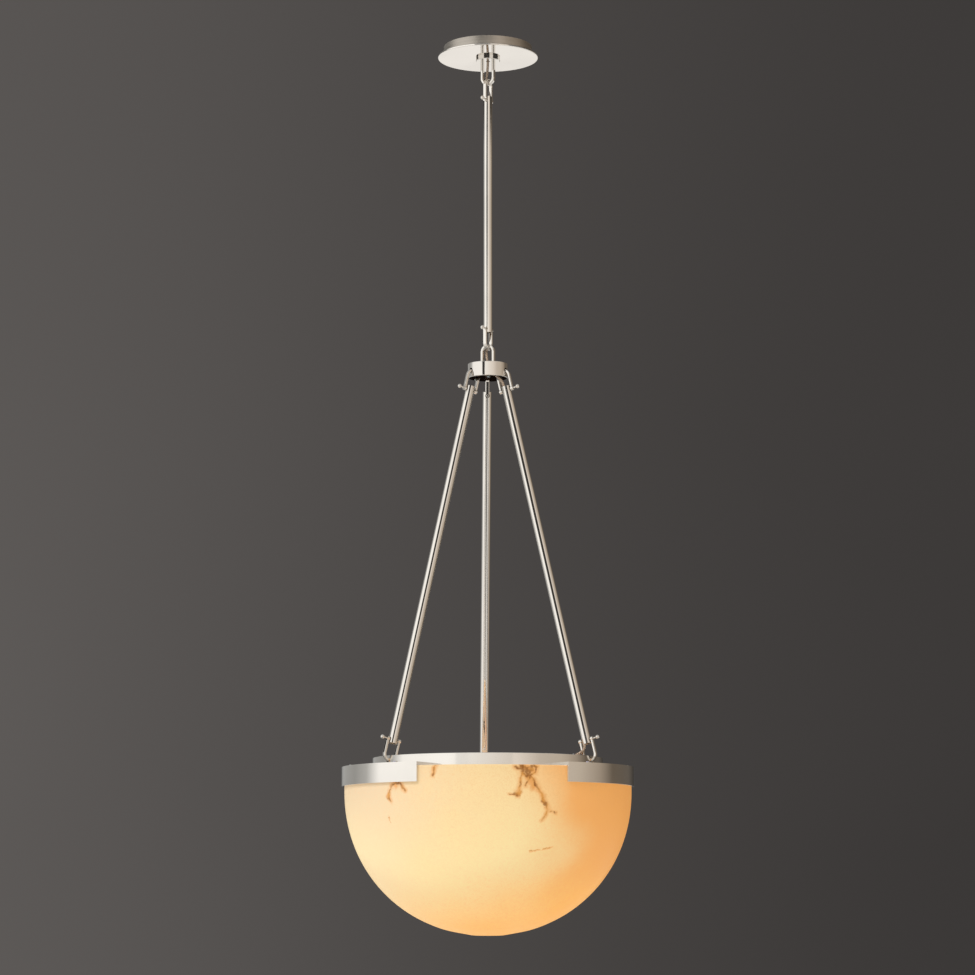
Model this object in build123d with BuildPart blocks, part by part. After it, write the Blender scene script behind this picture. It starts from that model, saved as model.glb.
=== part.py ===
from build123d import *
import os
from math import cos, hypot, radians, sin, sqrt, tan

os.makedirs("parts", exist_ok=True)

# Alabaster bowl pendant. Millimetres and degrees. The origin is the centre of the canopy on the
# ceiling plane and +Z is up, so the pendant hangs down to its bowl at about z = -1420.
# The viewer stands at -Y. Azimuths are counted from +X towards +Y.

# ---- fits ----
pin_fit = 0.05  # radial running clearance of a pin in its eyes and in its tube
thread_fit = 0.05  # radial clearance of a modelled thread
seat_gap = 0.1  # gap between curved faces that are fastened together
screw_fit = 0.2  # radial clearance of a screw in a plain hole

# ---- ceiling plate and canopy ----
crossbar_length = 105
crossbar_width = 20
crossbar_thickness = 2.5
slot_spacing = 80  # centre to centre, takes ceiling boxes with screws 65 to 95 apart
slot_length = 20
slot_width = 4.6
nipple_radius = 4.75
nipple_bore = 3.4
lock_nut_flats = 16
lock_nut_height = 3
drum_radius = 71
drum_height = 15.8
drum_wall = 1.2
plate_overhang = 9.7  # how far the plate reaches past the drum
plate_thickness = 2.5
collar_radius = 19.4
collar_height = 5
collar_groove = 0.8  # width and depth of each of its two grooves
ground_hole_x = 19  # threaded, for the earth wire's screw
ground_hole_radius = 2

# ---- links: two fixed loops and eight shackles, bent from flat bar ----
link_azimuth = -29  # the direction that the loops span; the stem's pins lie square to it
loop_gap = 15.5
loop_bar = 4.3
loop_width = 7
loop_edge = 1.5
canopy_loop_drop = 35.3  # from the collar to the inside of the loop's arch
hub_loop_rise = 27.6  # from the hub to the inside of the loop's arch
shackle_side_gap = 1  # between each leg and the tube that it holds
shackle_bar = 4
shackle_width = 6
shackle_edge = 1.2
shackle_leg = 22.5  # from the arch's centre to the pin
eye_radius = 3.5
link_play = 0.05  # more than half a loop's width, between its middle and the shackle's arch
pin_radius = 1.5
pin_knob_radius = 3.2
pin_neck_radius = 1.2
pin_neck_length = 4.4  # from the shackle's leg to the ball
pin_tail_radius = 2.2
pin_tail_height = 1.4

# ---- stem and rods ----
tube_radius = 7
tube_wall = 1
pin_inset = 5.5  # from a tube's end to its pin
stem_pin_distance = 375

# ---- hub ----
hub_radius = 32
hub_height = 23
hub_wall = 2
hub_top = 3
hub_base_thickness = 2
hub_hook_inset = 3.7  # from the hub's outside in to the centre of each upper shackle's arch
hub_hook_height = 0.5  # and from the hub's lower edge up to it
hub_slot_side_gap = 1.5
hub_hook_hole_gap = 1
hub_screw_length = 10
hub_screw_head_height = 1.6
boss_radius = 3.5
boss_circle = 21
boss_screw_radius = 1.5
grommet_bore = 4.4
grommet_wall = 1.2
grommet_lip = 1
cable_hole_radius = 4.9
cable_hole_out = 1.5  # from the right rod's hook outwards
cable_hole_aside = -10.7

# ---- ring and brackets ----
rod_azimuths = {"left": -150, "right": -30, "back": 90}
ring_wall = 4
ring_height = 19.2
hub_to_ring = 603.6  # from the hub's lower edge down to the ring's top edge
ring_hook_inset = 3.3  # from the ring's outside in to the centre of each lower shackle's arch
ring_hook_height = 2.2  # and from the ring's top edge up to it
ring_slot_side_gap = 3
ring_slot_drop = 0.785  # from the middle of the shackle's bar down to the middle of its slot
slot_play = 2.2  # above and below the bar, in the hub's and the ring's slots
bracket_angle = 60
bracket_plate = 4.8
bracket_gap = 1.4  # from the bowl to the band round it
bracket_band = 3
bracket_height = 29.9
fastener_angle = 18  # from a bracket's middle to each of its fasteners
ring_screw_radius = 1.5
ring_screw_length = 12
ring_screw_head = 2.7
rim_screw_radius = 2
rim_screw_length = 18
rim_screw_head = 3.6
rim_insert_radius = 3
rim_insert_length = 12
rim_pad_thickness = 0.6
rim_pad_inset = 1

# ---- alabaster bowl ----
bowl_radius = 224.2
ring_inset = 43.8  # from the bowl's outside in to the ring's
bowl_wall = 12
bowl_rim_height = 31
bowl_dome_height = 223.8
bowl_fullness = 2.06  # exponent of the dome's superellipse; 2 is an ellipse
bowl_rim_edge = 1.5

# ---- lamps ----
arm_azimuths = (-60, 60, 180)
arm_width = 16
arm_thickness = 3
arm_depth = 11.6  # from the ring's top edge to the arms' top face
arm_foot_height = 12
spider_hub_radius = 24
foot_screw_radius = 2
foot_screw_head = 3.4
foot_screw_end_gap = 1.5  # from the screw's end to the ring's outside
lamp_circle = 78
lamp_nipple_length = 17
lamp_nipple_rise = 5  # above the arm
lampholder_radius = 19
lampholder_length = 44
lampholder_top = 12
socket_fit = 0.4  # radial, between a bulb's cap and its lampholder
bulb_cap_radius = 13.2
bulb_cap_length = 24
bulb_length = 96  # glass only
bulb_radius = 30
bulb_glass = 1.2
block_radius = 12
block_height = 12
block_socket = 4

# ---- supply cable ----
cable_radius = 2
lead_radius = 1.2
lead_rise = 9  # above the arms
lead_drop = 20
core_radius = 0.8
core_spread = 1.05
core_rise = 9  # above the ceiling plane, inside the ceiling box
connector_radius = 5
connector_tip_radius = 3.25
connector_length = 18
connector_start = 11
connector_socket = 5
sleeve_bore = 3
sleeve_wall = 1.2
sleeve_length = 8
clip_width = 8
clip_thickness = 1.6
clip_foot = 9

# ---- worked out from the sizes above ----
plate_radius = drum_radius + plate_overhang
drum_bottom = -drum_height
plate_bottom = drum_bottom - plate_thickness
collar_bottom = plate_bottom - collar_height
shackle_gap = 2 * (tube_radius + shackle_side_gap)
shackle_radius = shackle_gap / 2 + shackle_bar / 2
link_seat = loop_width / 2 + link_play
canopy_hinge_z = collar_bottom - canopy_loop_drop - loop_bar / 2
top_arch_z = canopy_hinge_z + link_seat - shackle_gap / 2
top_pin_z = top_arch_z - shackle_leg
bottom_pin_z = top_pin_z - stem_pin_distance
bottom_arch_z = bottom_pin_z - shackle_leg
hub_hinge_z = bottom_arch_z - shackle_gap / 2 + link_seat
hub_top_z = hub_hinge_z - loop_bar / 2 - hub_loop_rise
hub_bottom_z = hub_top_z - hub_height
ring_top_z = hub_bottom_z - hub_to_ring
ring_bottom_z = ring_top_z - ring_height
ring_radius = bowl_radius - ring_inset
ring_inner_radius = ring_radius - ring_wall
bracket_radius = bowl_radius + bracket_gap + bracket_band
plate_top_z = ring_bottom_z + bracket_plate
rim_z = ring_bottom_z - rim_pad_thickness
dome_z = rim_z - bowl_rim_height
arm_top_z = ring_top_z - arm_depth
arm_bottom_z = arm_top_z - arm_thickness
hub_hook_radius = hub_radius - hub_hook_inset
hub_hook_z = hub_bottom_z + hub_hook_height
ring_hook_radius = ring_radius - ring_hook_inset
ring_hook_z = ring_top_z + ring_hook_height
rod_drop = hub_hook_z - ring_hook_z
rod_spread = ring_hook_radius - hub_hook_radius
hook_distance = hypot(rod_drop, rod_spread)
rod_length = hook_distance - 2 * (shackle_leg - pin_inset)
tube_bore = tube_radius - tube_wall
cable_pin_gap = (tube_bore - pin_radius) / 2 - cable_radius  # the same at the tube's wall
cable_offset = pin_radius + cable_pin_gap + cable_radius  # from a tube's axis, beside the pin
rim_middle = bowl_radius - bowl_wall / 2
slot_height = shackle_bar + 2 * slot_play


def radial(azimuth):
    """The level unit vector that points outwards at an azimuth."""
    return Vector(cos(radians(azimuth)), sin(radians(azimuth)), 0)


def at(azimuth, radius, height, aside=0):
    """A point by azimuth, radius and height, and its distance aside along the tangent."""
    return radial(azimuth) * radius + radial(azimuth + 90) * aside + Vector(0, 0, height)


def upright(azimuth, radius, height):
    """A plane that faces outwards at an azimuth: its x is the tangent, its y is up."""
    return Plane(at(azimuth, radius, height), x_dir=radial(azimuth + 90), z_dir=radial(azimuth))


def rod_line(azimuth):
    """Where a rod's upper arch is centred, and the rod's direction down from there."""
    start = at(azimuth, hub_hook_radius, hub_hook_z)
    end = at(azimuth, ring_hook_radius, ring_hook_z)
    return start, (end - start).normalized()


def bent_bar(centre, across, to_arch, leg, gap, bar, width, edge):
    """A U of flat bar with rounded edges. Its legs run from the arch's centre away from the arch."""
    middle = gap / 2 + bar / 2
    leg_end = centre - across * middle - to_arch * leg
    with BuildPart() as bent:
        with BuildLine(Plane(centre, x_dir=across, z_dir=across.cross(to_arch))) as path:
            Line((-middle, -leg), (-middle, 0))
            CenterArc((0, 0), middle, 180, -180)
            Line((middle, 0), (middle, -leg))
        with BuildSketch(Plane(leg_end, x_dir=across, z_dir=to_arch)):
            RectangleRounded(bar, width, edge)
        sweep(path=path.line)
    return bent.part


def shackle(centre, across, to_arch):
    """A U with an eye at the end of each leg, drilled for one pin through both."""
    bar = bent_bar(
        centre, across, to_arch, shackle_leg, shackle_gap, shackle_bar, shackle_width, shackle_edge
    )
    pin_place = Plane(centre - to_arch * shackle_leg, z_dir=across)
    with BuildPart() as finished:
        add(bar)
        with Locations(pin_place.offset(shackle_radius), pin_place.offset(-shackle_radius)):
            Cylinder(eye_radius, shackle_bar)
        with Locations(pin_place):
            Cylinder(pin_radius + pin_fit, 4 * shackle_radius, mode=Mode.SUBTRACT)
    return finished.part


def knob_pin(centre, to_knob):
    """A pin across a shackle, with a ball knob on a thin neck at one end and a peened tail."""
    half = shackle_gap / 2 + shackle_bar
    knob_centre = half + pin_neck_length + pin_knob_radius
    with BuildPart(Plane(centre, z_dir=to_knob)) as pin:
        Cylinder(pin_radius, 2 * half)
        Cylinder(pin_neck_radius, knob_centre, align=(Align.CENTER, Align.CENTER, Align.MIN))
        with Locations((0, 0, knob_centre)):
            Sphere(pin_knob_radius)
        with Locations((0, 0, -half - pin_tail_height / 2)):
            Cylinder(pin_tail_radius, pin_tail_height)
        tail_edge = pin.edges().filter_by(GeomType.CIRCLE).sort_by(Axis(centre, to_knob))[0]
        fillet(tail_edge, pin_tail_height * 0.6)
    return pin.part


def tube(end, direction, length, pins):
    """A round tube from one end, drilled across near its ends in the direction of the pins."""
    with BuildPart(Plane(end, x_dir=pins, z_dir=direction)) as pipe:
        rise = (Align.CENTER, Align.CENTER, Align.MIN)
        Cylinder(tube_radius, length, align=rise)
        Cylinder(tube_bore, length, align=rise, mode=Mode.SUBTRACT)
        with Locations((0, 0, pin_inset), (0, 0, length - pin_inset)):
            Cylinder(pin_radius + pin_fit, 3 * tube_radius, rotation=(0, 90, 0), mode=Mode.SUBTRACT)
    return pipe.part


def round_slot(width, height):
    """A slot with round ends in the open sketch, drawn along the larger of its two sizes."""
    SlotOverall(max(width, height), min(width, height), rotation=0 if width > height else 90)


def round_screw(top, direction, radius, length, head_radius, head_height):
    """A plain screw: top is where its head meets what it clamps, direction is where it points."""
    with BuildPart(Plane(top, z_dir=direction)) as screw:
        Cylinder(radius, length, align=(Align.CENTER, Align.CENTER, Align.MIN))
        Cylinder(head_radius, head_height, align=(Align.CENTER, Align.CENTER, Align.MAX))
        head_edge = screw.edges().filter_by(GeomType.CIRCLE).sort_by(Axis(top, direction))[0]
        fillet(head_edge, head_height * 0.4)
    return screw.part


def turn_at(before, corner, after):
    """The angle in degrees by which a route turns at a corner."""
    return (corner - before).get_angle(after - corner)


def route_radii(points):
    """Each corner's radius: as large as its two runs allow."""
    radii = []
    for before, corner, after in zip(points, points[1:], points[2:]):
        shorter = min((corner - before).length, (after - corner).length)
        radii.append(0.45 * shorter / tan(radians(turn_at(before, corner, after) / 2)))
    return radii


def swept_tube(points, radii, radius):
    """A round solid along straight runs joined by tangent arcs."""
    with BuildPart() as wire:
        with BuildLine() as path:
            if radii:
                FilletPolyline(*points, radius=radii)
            else:
                Line(*points)
        with BuildSketch(Plane(points[0], z_dir=points[1] - points[0])):
            Circle(radius)
        sweep(path=path.line)
    return wire.part


def finish(part, name):
    part.label = name
    export_step(part, f"parts/{name}.step")


def finish_group(parts, name):
    """Identical pieces share one node, each as its own solid."""
    finish(Compound([solid for part in parts for solid in part.solids()]), name)


# ---- canopy ----
with BuildPart() as crossbar:
    with BuildSketch(Plane.XY.offset(-crossbar_thickness)):
        RectangleRounded(crossbar_length, crossbar_width, crossbar_width / 4)
        with Locations((slot_spacing / 2, 0), (-slot_spacing / 2, 0)):
            SlotOverall(slot_length, slot_width, mode=Mode.SUBTRACT)
        Circle(nipple_radius + thread_fit, mode=Mode.SUBTRACT)
        with Locations((ground_hole_x, 0)):
            Circle(ground_hole_radius, mode=Mode.SUBTRACT)
    extrude(amount=crossbar_thickness)
finish(crossbar.part, "crossbar")

with BuildPart() as nipple:
    with BuildSketch(Plane.XY.offset(collar_bottom + 1)):
        Circle(nipple_radius)
        Circle(nipple_bore, mode=Mode.SUBTRACT)
    extrude(amount=-collar_bottom - 1)
finish(nipple.part, "threaded_nipple")

with BuildPart() as lock_nut:
    with BuildSketch(Plane.XY.offset(-crossbar_thickness)):
        RegularPolygon(lock_nut_flats / 2, 6, major_radius=False)
        Circle(nipple_radius + thread_fit, mode=Mode.SUBTRACT)
    extrude(amount=-lock_nut_height)
finish(lock_nut.part, "lock_nut")

with BuildPart() as canopy_drum:
    with BuildSketch(Plane.XY.offset(drum_bottom)):
        Circle(drum_radius)
    extrude(amount=drum_height)
    fillet(canopy_drum.faces().sort_by(Axis.Z)[0].edges(), drum_wall)
    with BuildSketch(Plane.XY.offset(drum_bottom + drum_wall)):
        Circle(drum_radius - drum_wall)
    extrude(amount=drum_height, mode=Mode.SUBTRACT)
    with BuildSketch(Plane.XY.offset(drum_bottom)):
        Circle(nipple_radius + screw_fit)
    extrude(amount=drum_height, mode=Mode.SUBTRACT)
finish(canopy_drum.part, "canopy_drum")

with BuildPart() as canopy_plate:
    with BuildSketch(Plane.XY.offset(plate_bottom)):
        Circle(plate_radius)
    extrude(amount=plate_thickness)
    fillet(canopy_plate.edges().filter_by(GeomType.CIRCLE), plate_thickness * 0.3)
    with BuildSketch(Plane.XY.offset(plate_bottom)):
        Circle(nipple_radius + screw_fit)
    extrude(amount=plate_thickness, mode=Mode.SUBTRACT)
finish(canopy_plate.part, "canopy_plate")

with BuildPart() as collar:
    with BuildSketch(Plane.XY.offset(collar_bottom)):
        Circle(collar_radius)
    extrude(amount=collar_height)
    chamfer(collar.faces().sort_by(Axis.Z)[0].edges(), collar_groove)
    for share in (1 / 3, 2 / 3):
        with BuildSketch(Plane.XY.offset(plate_bottom - share * collar_height - collar_groove / 2)):
            Circle(collar_radius + 1)
            Circle(collar_radius - collar_groove, mode=Mode.SUBTRACT)
        extrude(amount=collar_groove, mode=Mode.SUBTRACT)
    with BuildSketch(Plane.XY.offset(collar_bottom + 1)):
        Circle(nipple_radius + thread_fit)
    extrude(amount=collar_height, mode=Mode.SUBTRACT)
    with BuildSketch(Plane.XY.offset(collar_bottom)):
        Circle(nipple_bore)
    extrude(amount=collar_height, mode=Mode.SUBTRACT)
finish(collar.part, "collar")

# ---- links between canopy, stem and hub ----
span = radial(link_azimuth)
pins = radial(link_azimuth + 90)
up = Vector(0, 0, 1)
down = Vector(0, 0, -1)


def loop(centre, to_arch, drop):
    """A loop welded to a flat face; drop is from the face to the inside of the arch."""
    return bent_bar(
        centre, span, to_arch, drop - loop_gap / 2, loop_gap, loop_bar, loop_width, loop_edge
    )


canopy_loop_centre = Vector(0, 0, collar_bottom - canopy_loop_drop + loop_gap / 2)
hub_loop_centre = Vector(0, 0, hub_top_z + hub_loop_rise - loop_gap / 2)
finish(loop(canopy_loop_centre, down, canopy_loop_drop), "canopy_loop")
finish(loop(hub_loop_centre, up, hub_loop_rise), "hub_loop")
finish(shackle(Vector(0, 0, top_arch_z), pins, up), "stem_top_shackle")
finish(shackle(Vector(0, 0, bottom_arch_z), pins, down), "stem_bottom_shackle")
finish(knob_pin(Vector(0, 0, top_pin_z), -pins), "stem_top_pin")
finish(knob_pin(Vector(0, 0, bottom_pin_z), -pins), "stem_bottom_pin")
finish(
    tube(Vector(0, 0, top_pin_z + pin_inset), down, stem_pin_distance + 2 * pin_inset, pins),
    "stem",
)

# ---- hub ----
hook_wall_z = hub_hook_z + sqrt(
    shackle_radius**2 - (hub_radius - hub_wall / 2 - hub_hook_radius) ** 2
)
hook_base_radius = hub_hook_radius - sqrt(
    shackle_radius**2 - (hub_base_thickness / 2 - hub_hook_height) ** 2
)
boss_azimuths = [azimuth + 60 for azimuth in rod_azimuths.values()]
hub_base_top_z = hub_bottom_z + hub_base_thickness
hub_hook_hole = hypot(shackle_bar, shackle_width) / 2 + hub_hook_hole_gap
cable_way_out = at(
    rod_azimuths["right"], hook_base_radius + cable_hole_out, 0, cable_hole_aside
)

with BuildPart() as hub_shell:
    with BuildSketch(Plane.XY.offset(hub_bottom_z)):
        Circle(hub_radius)
    extrude(amount=hub_height)
    fillet(hub_shell.edges().filter_by(GeomType.CIRCLE), hub_wall * 0.4)
    with BuildSketch(Plane.XY.offset(hub_bottom_z)):
        Circle(hub_radius - hub_wall)
    extrude(amount=hub_height - hub_top, mode=Mode.SUBTRACT)
    with BuildSketch(Plane.XY.offset(hub_base_top_z)):
        for azimuth in boss_azimuths:
            with Locations(at(azimuth, boss_circle, 0)):
                Circle(boss_radius)
    extrude(amount=hub_height - hub_top - hub_base_thickness)
    with BuildSketch(Plane.XY.offset(hub_base_top_z)):
        for azimuth in boss_azimuths:
            with Locations(at(azimuth, boss_circle, 0)):
                Circle(boss_screw_radius + thread_fit)
    extrude(amount=hub_height - hub_top - 2 * hub_base_thickness, mode=Mode.SUBTRACT)
    with BuildSketch(Plane.XY.offset(hub_top_z)):
        Circle(grommet_bore + grommet_wall)
    extrude(amount=-hub_top, mode=Mode.SUBTRACT)
    for azimuth in rod_azimuths.values():
        with BuildSketch(upright(azimuth, hub_radius + 1, hook_wall_z)):
            round_slot(shackle_width + 2 * hub_slot_side_gap, slot_height)
        extrude(amount=-hub_wall - 2, mode=Mode.SUBTRACT)
finish(hub_shell.part, "hub_shell")

with BuildPart() as hub_base:
    with BuildSketch(Plane.XY.offset(hub_bottom_z)):
        Circle(hub_radius - hub_wall - seat_gap)
        for azimuth in rod_azimuths.values():
            with Locations(at(azimuth, hook_base_radius, 0)):
                Circle(hub_hook_hole, mode=Mode.SUBTRACT)
        for azimuth in boss_azimuths:
            with Locations(at(azimuth, boss_circle, 0)):
                Circle(boss_screw_radius + screw_fit, mode=Mode.SUBTRACT)
        with Locations(cable_way_out):
            Circle(cable_hole_radius, mode=Mode.SUBTRACT)
    extrude(amount=hub_base_thickness)
finish(hub_base.part, "hub_base")

finish_group(
    [
        round_screw(
            at(azimuth, boss_circle, hub_bottom_z),
            up,
            boss_screw_radius,
            hub_screw_length,
            2 * boss_screw_radius,
            hub_screw_head_height,
        )
        for azimuth in boss_azimuths
    ],
    "hub_base_screws",
)

with BuildPart() as hub_grommet:
    with BuildSketch(Plane.XY.offset(hub_top_z)):
        Circle(grommet_bore + grommet_wall + grommet_lip)
        Circle(grommet_bore, mode=Mode.SUBTRACT)
    extrude(amount=grommet_lip)
    with BuildSketch(Plane.XY.offset(hub_top_z)):
        Circle(grommet_bore + grommet_wall - thread_fit)
        Circle(grommet_bore, mode=Mode.SUBTRACT)
    extrude(amount=-hub_top)
finish(hub_grommet.part, "hub_grommet")

# ---- rods with their shackles and pins ----
head_shackles = []
head_pins = []
for side, azimuth in rod_azimuths.items():
    hook, along = rod_line(azimuth)
    outward = along.cross(radial(azimuth + 90))
    foot_hook = hook + along * hook_distance
    rod_start = hook + along * (shackle_leg - pin_inset)
    head_shackles.append(shackle(hook, outward, -along))
    finish(tube(rod_start, along, rod_length, outward), f"rod_{side}")
    finish(shackle(foot_hook, outward, along), f"rod_foot_shackle_{side}")
    finish(knob_pin(foot_hook - along * shackle_leg, outward), f"rod_foot_pin_{side}")
    head_pins.append(knob_pin(hook + along * shackle_leg, outward))
finish_group(head_shackles, "rod_head_shackles")
finish_group(head_pins, "rod_head_pins")

# ---- ring, brackets and what clamps the bowl to them ----
ring_slot_z = (
    ring_hook_z
    - sqrt(shackle_radius**2 - (ring_radius - ring_wall / 2 - ring_hook_radius) ** 2)
    - ring_slot_drop
)
ring_screw_z = plate_top_z - bracket_plate / 2
fastener_azimuths = [
    azimuth + side * fastener_angle for azimuth in rod_azimuths.values() for side in (-1, 1)
]

with BuildPart() as ring:
    with BuildSketch(Plane.XY.offset(ring_bottom_z)):
        Circle(ring_radius)
        Circle(ring_inner_radius, mode=Mode.SUBTRACT)
    extrude(amount=ring_height)
    chamfer(ring.edges().filter_by(GeomType.CIRCLE), ring_wall * 0.1)
    for azimuth in rod_azimuths.values():
        with BuildSketch(upright(azimuth, ring_radius + 1, ring_slot_z)):
            round_slot(shackle_width + 2 * ring_slot_side_gap, slot_height)
        extrude(amount=-ring_wall - 2, mode=Mode.SUBTRACT)
    for azimuth in fastener_azimuths:
        with BuildSketch(upright(azimuth, ring_radius + 1, ring_screw_z)):
            Circle(ring_screw_radius + screw_fit)
        extrude(amount=-ring_wall - 2, mode=Mode.SUBTRACT)
    for azimuth in arm_azimuths:
        with BuildSketch(upright(azimuth, ring_inner_radius - 1, arm_top_z + arm_foot_height / 2)):
            Circle(foot_screw_radius + thread_fit)
        extrude(amount=ring_wall, mode=Mode.SUBTRACT)
finish(ring.part, "ring")

plate_inner = ring_radius + seat_gap
band_inner = bracket_radius - bracket_band
band_bottom_z = plate_top_z - bracket_height
for side, azimuth in rod_azimuths.items():
    start = azimuth - bracket_angle / 2
    with BuildPart() as bracket:
        with BuildSketch(Plane((0, 0, 0), x_dir=radial(start), z_dir=radial(start - 90))):
            with BuildLine():
                Polyline(
                    (plate_inner, plate_top_z),
                    (bracket_radius, plate_top_z),
                    (bracket_radius, band_bottom_z),
                    (band_inner, band_bottom_z),
                    (band_inner, ring_bottom_z),
                    (plate_inner, ring_bottom_z),
                    close=True,
                )
            make_face()
        revolve(axis=Axis.Z, revolution_arc=bracket_angle)
        for turn in (-fastener_angle, fastener_angle):
            with BuildSketch(Plane(at(azimuth + turn, rim_middle, plate_top_z))):
                Circle(rim_screw_radius + screw_fit)
            extrude(amount=-bracket_plate, mode=Mode.SUBTRACT)
            with BuildSketch(upright(azimuth + turn, plate_inner - 1, ring_screw_z)):
                Circle(ring_screw_radius + thread_fit)
            extrude(amount=ring_screw_length, mode=Mode.SUBTRACT)
    finish(bracket.part, f"bracket_{side}")

finish_group(
    [
        round_screw(
            at(azimuth, ring_inner_radius - seat_gap, ring_screw_z),
            radial(azimuth),
            ring_screw_radius,
            ring_screw_length,
            ring_screw_head,
            ring_screw_radius,
        )
        for azimuth in fastener_azimuths
    ],
    "ring_screws",
)
finish_group(
    [
        round_screw(
            at(azimuth, rim_middle, plate_top_z),
            down,
            rim_screw_radius,
            rim_screw_length,
            rim_screw_head,
            rim_screw_radius,
        )
        for azimuth in fastener_azimuths
    ],
    "rim_screws",
)

insert_planes = [Plane(at(azimuth, rim_middle, rim_z)) for azimuth in fastener_azimuths]
inserts = []
for plane in insert_planes:
    with BuildPart() as insert:
        with BuildSketch(plane):
            Circle(rim_insert_radius)
            Circle(rim_screw_radius + thread_fit, mode=Mode.SUBTRACT)
        extrude(amount=-rim_insert_length)
    inserts.append(insert.part)
finish_group(inserts, "rim_inserts")

pads = []
for azimuth in rod_azimuths.values():
    start = azimuth - bracket_angle / 2
    with BuildPart() as pad:
        with BuildSketch(Plane((0, 0, 0), x_dir=radial(start), z_dir=radial(start - 90))):
            with Locations((rim_middle, rim_z + rim_pad_thickness / 2)):
                Rectangle(bowl_wall - 2 * rim_pad_inset, rim_pad_thickness)
        revolve(axis=Axis.Z, revolution_arc=bracket_angle)
        for turn in (-fastener_angle, fastener_angle):
            with BuildSketch(Plane(at(azimuth + turn, rim_middle, rim_z))):
                Circle(rim_screw_radius + screw_fit)
            extrude(amount=rim_pad_thickness, mode=Mode.SUBTRACT)
    pads.append(pad.part)
finish_group(pads, "rim_pads")


# ---- bowl ----
def dome_points(radius, height):
    """Points down a quarter superellipse, from its side to its lowest point."""
    steps = 12
    points = []
    for step in range(steps + 1):
        angle = radians(90 * step / steps)
        across = radius * max(cos(angle), 0) ** (2 / bowl_fullness)
        fall = height * sin(angle) ** (2 / bowl_fullness)
        points.append((across, dome_z - fall))
    points[-1] = (0, dome_z - height)
    return points


with BuildPart() as bowl:
    with BuildSketch(Plane.XZ):
        with BuildLine():
            outer = Spline(*dome_points(bowl_radius, bowl_dome_height), tangents=((0, -1), (-1, 0)))
            inner = Spline(
                *dome_points(bowl_radius - bowl_wall, bowl_dome_height - bowl_wall),
                tangents=((0, -1), (-1, 0)),
            )
            Line(outer @ 1, inner @ 1)
            Polyline(
                outer @ 0,
                (bowl_radius, rim_z),
                (bowl_radius - bowl_wall, rim_z),
                inner @ 0,
            )
        make_face()
    revolve(axis=Axis.Z)
    fillet(bowl.edges().filter_by(GeomType.CIRCLE).group_by(Axis.Z)[-1], bowl_rim_edge)
    for plane in insert_planes:
        with BuildSketch(plane):
            Circle(rim_insert_radius + thread_fit)
        extrude(amount=-rim_screw_length, mode=Mode.SUBTRACT)
finish(bowl.part, "alabaster_bowl")

# ---- lamps on a three-armed spider inside the ring ----
foot_outer = ring_inner_radius - seat_gap
foot_z = arm_top_z + arm_foot_height / 2
with BuildPart() as lamp_spider:
    with BuildSketch(Plane.XY.offset(arm_bottom_z)):
        Circle(spider_hub_radius)
        for azimuth in arm_azimuths:
            with Locations(Location(at(azimuth, foot_outer / 2, 0), (0, 0, azimuth))):
                Rectangle(foot_outer, arm_width)
        Circle(foot_outer, mode=Mode.INTERSECT)
        for azimuth in arm_azimuths:
            with Locations(at(azimuth, lamp_circle, 0)):
                Circle(nipple_radius + screw_fit, mode=Mode.SUBTRACT)
    extrude(amount=arm_thickness)
    with BuildSketch(Plane.XY.offset(arm_top_z)):
        for azimuth in arm_azimuths:
            with Locations(Location(at(azimuth, foot_outer / 2, 0), (0, 0, azimuth))):
                Rectangle(foot_outer, arm_width)
        Circle(foot_outer, mode=Mode.INTERSECT)
        Circle(foot_outer - arm_thickness, mode=Mode.SUBTRACT)
    extrude(amount=arm_foot_height)
    for azimuth in arm_azimuths:
        with BuildSketch(upright(azimuth, foot_outer + 1, foot_z)):
            Circle(foot_screw_radius + screw_fit)
        extrude(amount=-arm_thickness - 2, mode=Mode.SUBTRACT)
finish(lamp_spider.part, "lamp_spider")

finish_group(
    [
        round_screw(
            at(azimuth, foot_outer - arm_thickness - seat_gap, foot_z),
            radial(azimuth),
            foot_screw_radius,
            arm_thickness + ring_wall - foot_screw_end_gap,
            foot_screw_head,
            foot_screw_radius,
        )
        for azimuth in arm_azimuths
    ],
    "spider_screws",
)

lamp_nipples = []
lamp_nuts = []
nipple_top_z = arm_top_z + lamp_nipple_rise
for azimuth in arm_azimuths:
    centre = at(azimuth, lamp_circle, 0)
    with BuildPart() as lamp_nipple:
        with BuildSketch(Plane(centre).offset(nipple_top_z)):
            Circle(nipple_radius)
            Circle(nipple_bore, mode=Mode.SUBTRACT)
        extrude(amount=-lamp_nipple_length)
    lamp_nipples.append(lamp_nipple.part)
    with BuildPart() as lamp_nut:
        with BuildSketch(Plane(centre).offset(arm_top_z)):
            RegularPolygon(lock_nut_flats / 2, 6, major_radius=False)
            Circle(nipple_radius + thread_fit, mode=Mode.SUBTRACT)
        extrude(amount=lock_nut_height)
    lamp_nuts.append(lamp_nut.part)
finish_group(lamp_nipples, "lamp_nipples")
finish_group(lamp_nuts, "lamp_nuts")

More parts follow.
